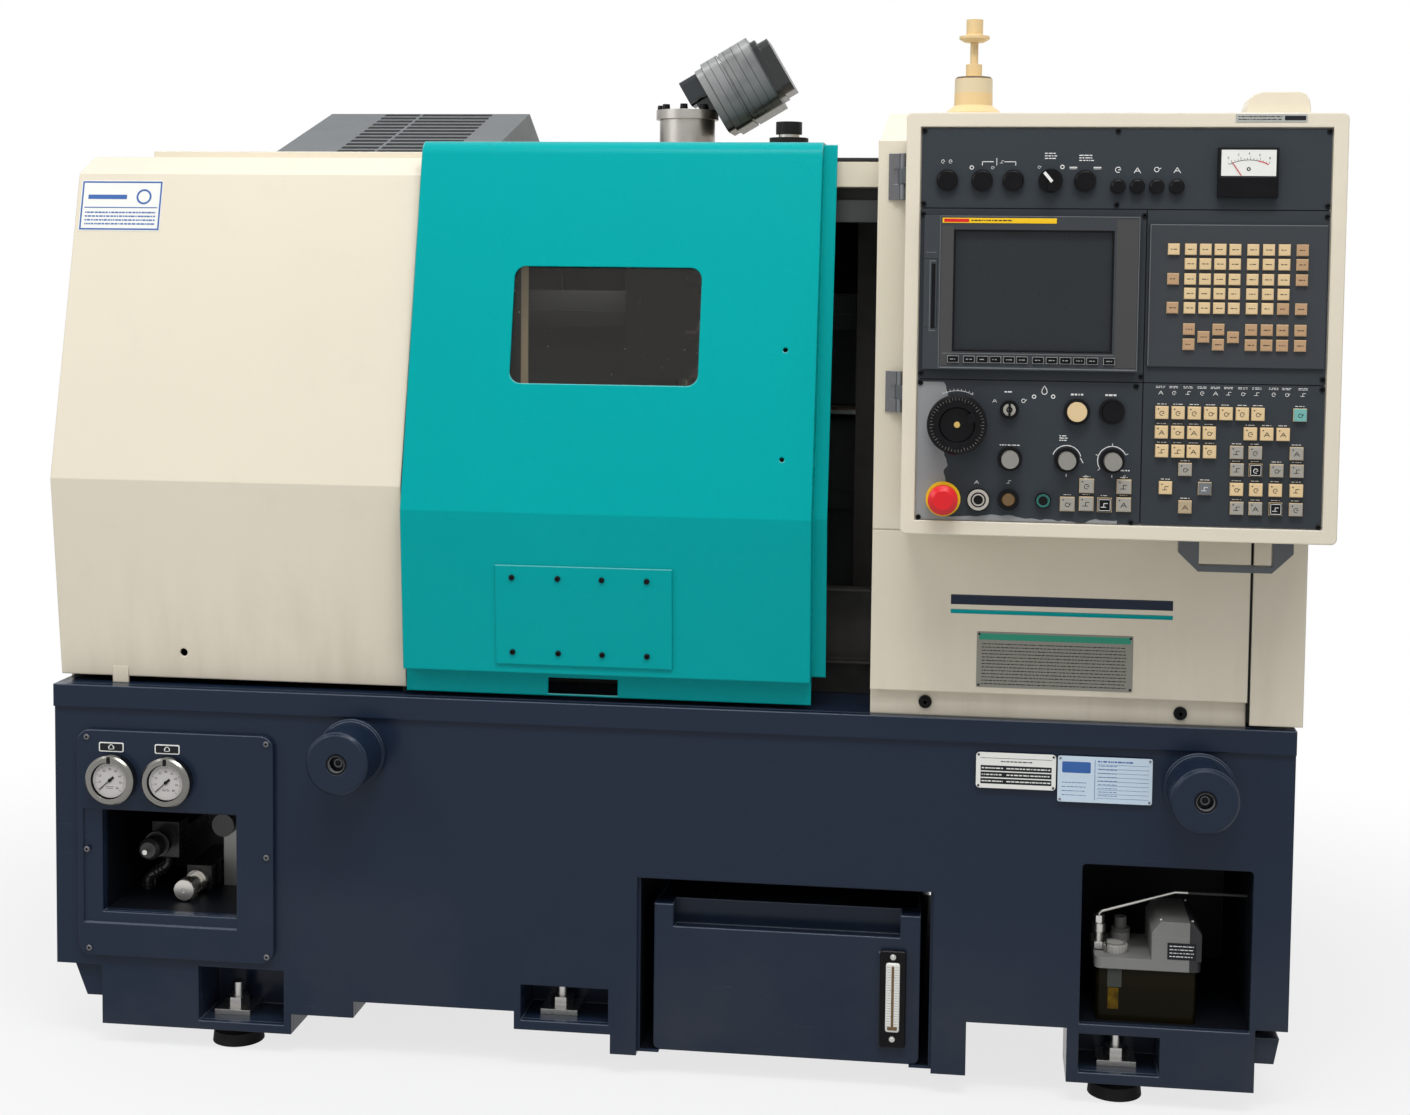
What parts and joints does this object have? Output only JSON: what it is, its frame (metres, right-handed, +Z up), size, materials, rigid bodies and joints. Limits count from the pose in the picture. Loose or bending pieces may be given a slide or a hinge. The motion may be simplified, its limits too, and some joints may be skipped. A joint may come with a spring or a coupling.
{
  "type": "cnc turning lathe",
  "caption": "CNC turning lathe with a sliding door, a hinged control box, a turret, a chuck and a pull-out coolant tank.",
  "frame": {"origin": "on the floor under the middle of the whole machine", "axes": "+X to the operator's right, along the spindle; +Y away from the operator; +Z up"},
  "size_m": [1.85, 1.455, 1.5864],
  "materials": {
    "navy_paint": "gloss",
    "cream_paint": "satin",
    "teal_paint": "gloss",
    "grey_paint": "satin",
    "panel_paint": "matt",
    "steel": "brushed",
    "chrome_plate": "polished",
    "casting": "rough",
    "black_plastic": "matt",
    "white_plastic": "matt",
    "key_plastic": "matt",
    "tan_plastic": "satin",
    "red_plastic": "gloss",
    "amber_plastic": "gloss",
    "clear_plastic": "clear",
    "rubber_black": "matt",
    "servo_alloy": "cast"
  },
  "bodies": {
    "machine": {"base_front": "navy_paint", "base_deck": "navy_paint", "base_walls": "navy_paint", "base_legs": "navy_paint", "levelling_bolts": "steel", "levelling_feet": "rubber_black", "lifting_bosses": "navy_paint", "gauge_panel": "navy_paint", "pressure_gauges": "black_plastic", "hydraulic_valves": "steel", "lubricator_tank": "amber_plastic", "lubricator_pump": "grey_paint", "left_cover": "cream_paint", "louvre_hood": "grey_paint", "roof_cover": "cream_paint", "right_cover": "cream_paint", "right_side_cover": "cream_paint", "top_rail": "cream_paint", "work_area_guard": "cream_paint", "machine_bed": "casting", "headstock": "casting", "drive_belt": "rubber_black", "spindle_motor": "casting", "roof_cap": "black_plastic", "roof_cable": "rubber_black", "box_hinges": "steel"},
    "spindle_line": {"spindle": "steel", "chuck_body": "steel"},
    "jaw_one": {"chuck_jaw_1": "steel"},
    "jaw_two": {"chuck_jaw_2": "steel"},
    "jaw_three": {"chuck_jaw_3": "steel"},
    "drive_pulley": {"motor_pulley": "steel"},
    "saddle_unit": {"saddle": "casting", "x_screw_housing": "steel", "x_motor": "servo_alloy"},
    "z_screw_unit": {"z_screw": "chrome_plate"},
    "x_screw_unit": {"x_screw": "chrome_plate"},
    "cross_slide_unit": {"cross_slide": "casting"},
    "turret": {"turret_disc": "steel"},
    "door": {"door_panel": "teal_paint", "door_window": "clear_plastic", "access_plate": "teal_paint"},
    "tank": {"coolant_tank": "navy_paint"},
    "control_box": {"box_shell": "cream_paint", "panel_plates": "panel_paint", "display_unit": "black_plastic", "panel_keys": "key_plastic", "panel_fittings": "black_plastic", "box_hardware": "chrome_plate", "lamp_base": "tan_plastic"},
    "card_flap": {"card_door": "black_plastic"},
    "hand_wheel": {"handwheel": "black_plastic"},
    "stop_button": {"emergency_stop": "red_plastic"},
    "start_button": {"white_button": "white_plastic"},
    "hold_button": {"black_button": "black_plastic"},
    "knob_one": {"override_knob_1": "chrome_plate"},
    "knob_two": {"override_knob_2": "chrome_plate"},
    "knob_three": {"override_knob_3": "chrome_plate"},
    "selector": {"mode_selector": "black_plastic"},
    "key_lock": {"key_switch": "chrome_plate"}
  },
  "joints": [
    {"name": "door_slide", "type": "slide", "parent": "machine", "child": "door", "axis": [1, 0, 0], "range_m": [-0.5, 0.06]},
    {"name": "control_box_swing", "type": "hinge", "parent": "machine", "child": "control_box", "pos_m": [0.344, -0.5405, 1.12], "axis": [0, 0, 1], "range_deg": [-70, 0]},
    {"name": "spindle_spin", "type": "hinge", "parent": "machine", "child": "spindle_line", "pos_m": [-0.51, -0.0625, 0.905], "axis": [1, 0, 0], "continuous": true},
    {"name": "jaw_one_slide", "type": "slide", "parent": "spindle_line", "child": "jaw_one", "axis": [0, 0, 1], "range_m": [-0.0025, 0.0025]},
    {"name": "jaw_two_slide", "type": "slide", "parent": "spindle_line", "child": "jaw_two", "axis": [0, -0.866, -0.5], "range_m": [-0.0025, 0.0025]},
    {"name": "jaw_three_slide", "type": "slide", "parent": "spindle_line", "child": "jaw_three", "axis": [0, 0.866, -0.5], "range_m": [-0.0025, 0.0025]},
    {"name": "motor_pulley_spin", "type": "hinge", "parent": "machine", "child": "drive_pulley", "pos_m": [-0.71, 0.2675, 0.69], "axis": [1, 0, 0], "continuous": true},
    {"name": "saddle_slide", "type": "slide", "parent": "machine", "child": "saddle_unit", "axis": [1, 0, 0], "range_m": [-0.185, 0.105]},
    {"name": "z_screw_spin", "type": "hinge", "parent": "machine", "child": "z_screw_unit", "pos_m": [-0.01, 0.2075, 0.94], "axis": [1, 0, 0], "continuous": true},
    {"name": "cross_slide_travel", "type": "slide", "parent": "saddle_unit", "child": "cross_slide_unit", "axis": [0, 0, 1], "range_m": [-0.1, 0.04]},
    {"name": "x_screw_spin", "type": "hinge", "parent": "saddle_unit", "child": "x_screw_unit", "pos_m": [-0.053, 0.0925, 1.2], "axis": [0, 0, 1], "continuous": true},
    {"name": "turret_index", "type": "hinge", "parent": "cross_slide_unit", "child": "turret", "pos_m": [0.05, -0.0625, 1.13], "axis": [1, 0, 0], "continuous": true},
    {"name": "tank_slide", "type": "slide", "parent": "machine", "child": "tank", "axis": [0, -1, 0], "range_m": [0, 0.6]},
    {"name": "card_door_swing", "type": "hinge", "parent": "control_box", "child": "card_flap", "pos_m": [0.38, -0.691, 1.165], "axis": [0, 0, 1], "range_deg": [-95, 0]},
    {"name": "handwheel_spin", "type": "hinge", "parent": "control_box", "child": "hand_wheel", "pos_m": [0.426, -0.6925, 0.988], "axis": [0, 1, 0], "continuous": true},
    {"name": "emergency_stop_press", "type": "slide", "parent": "control_box", "child": "stop_button", "axis": [0, 1, 0], "range_m": [0, 0.005], "stiffness_N_per_m": 1500},
    {"name": "white_button_press", "type": "slide", "parent": "control_box", "child": "start_button", "axis": [0, 1, 0], "range_m": [0, 0.004], "stiffness_N_per_m": 500},
    {"name": "black_button_press", "type": "slide", "parent": "control_box", "child": "hold_button", "axis": [0, 1, 0], "range_m": [0, 0.004], "stiffness_N_per_m": 500},
    {"name": "override_knob_1_turn", "type": "hinge", "parent": "control_box", "child": "knob_one", "pos_m": [0.497, -0.6925, 0.942], "axis": [0, 1, 0], "range_deg": [-140, 140]},
    {"name": "override_knob_2_turn", "type": "hinge", "parent": "control_box", "child": "knob_two", "pos_m": [0.572, -0.6925, 0.942], "axis": [0, 1, 0], "range_deg": [-140, 140]},
    {"name": "override_knob_3_turn", "type": "hinge", "parent": "control_box", "child": "knob_three", "pos_m": [0.632, -0.6925, 0.942], "axis": [0, 1, 0], "range_deg": [-140, 140]},
    {"name": "mode_selector_turn", "type": "hinge", "parent": "control_box", "child": "selector", "pos_m": [0.543, -0.6925, 1.313], "axis": [0, 1, 0], "range_deg": [-60, 60]},
    {"name": "key_switch_turn", "type": "hinge", "parent": "control_box", "child": "key_lock", "pos_m": [0.495, -0.6925, 1.008], "axis": [0, 1, 0], "range_deg": [0, 90]}
  ],
  "couplings": [
    {"joint": "jaw_two_slide", "follows": "jaw_one_slide", "ratio": 1},
    {"joint": "jaw_three_slide", "follows": "jaw_one_slide", "ratio": 1},
    {"joint": "motor_pulley_spin", "follows": "spindle_spin", "ratio": 1.5},
    {"joint": "z_screw_spin", "follows": "saddle_slide", "rad_per_m": 314.16},
    {"joint": "x_screw_spin", "follows": "cross_slide_travel", "rad_per_m": 314.16}
  ]
}
